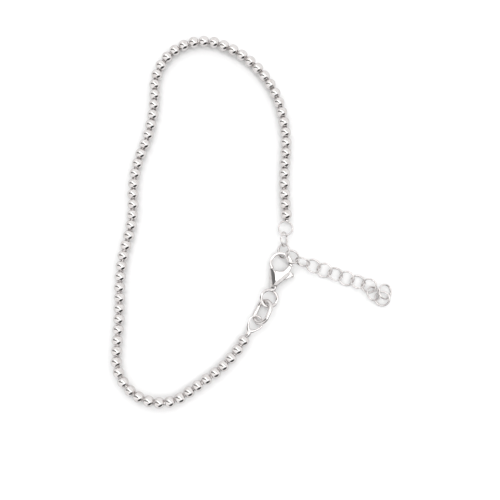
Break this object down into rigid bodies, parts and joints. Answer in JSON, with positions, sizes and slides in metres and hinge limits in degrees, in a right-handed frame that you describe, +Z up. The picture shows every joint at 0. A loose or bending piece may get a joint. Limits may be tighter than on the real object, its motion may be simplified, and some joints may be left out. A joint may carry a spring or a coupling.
{
  "type": "bracelet",
  "caption": "Slim bracelet of round polished silver beads that closes with a small lobster clasp on a short extender chain of round rings.",
  "frame": {"origin": "on the surface that the bracelet lies on, under the middle of its box", "axes": "+Y along the length of the laid bracelet, from the bottom of the loop to its top; +X towards the end of the extender chain; +Z up"},
  "size_m": [0.0606, 0.0821, 0.0032],
  "materials": {
    "bead_silver": "polished sterling silver",
    "wire_silver": "polished sterling silver wire",
    "clasp_silver": "cast and polished sterling silver"
  },
  "bodies": {
    "bracelet": {"bead_string": "bead_silver", "upper_end_ring": "wire_silver", "lower_end_ring": "wire_silver", "oval_link": "wire_silver", "clasp_body": "clasp_silver", "extender_ring_01": "wire_silver", "extender_ring_02": "wire_silver", "extender_ring_03": "wire_silver", "extender_ring_04": "wire_silver", "extender_ring_05": "wire_silver", "extender_ring_06": "wire_silver", "extender_ring_07": "wire_silver", "extender_ring_08": "wire_silver", "extender_ring_09": "wire_silver", "extender_ring_10": "wire_silver", "extender_ring_11": "wire_silver", "extender_ring_12": "wire_silver", "extender_ring_13": "wire_silver"},
    "lever": {"clasp_lever": "clasp_silver"}
  },
  "joints": [
    {"name": "clasp_lever_hinge", "type": "hinge", "parent": "bracelet", "child": "lever", "pos_m": [0.00525, -0.01355, 0.0011], "axis": [0, 0, -1], "range_deg": [0, 20], "stiffness_Nm_per_rad": 0.002, "springref_deg": -5.73}
  ]
}
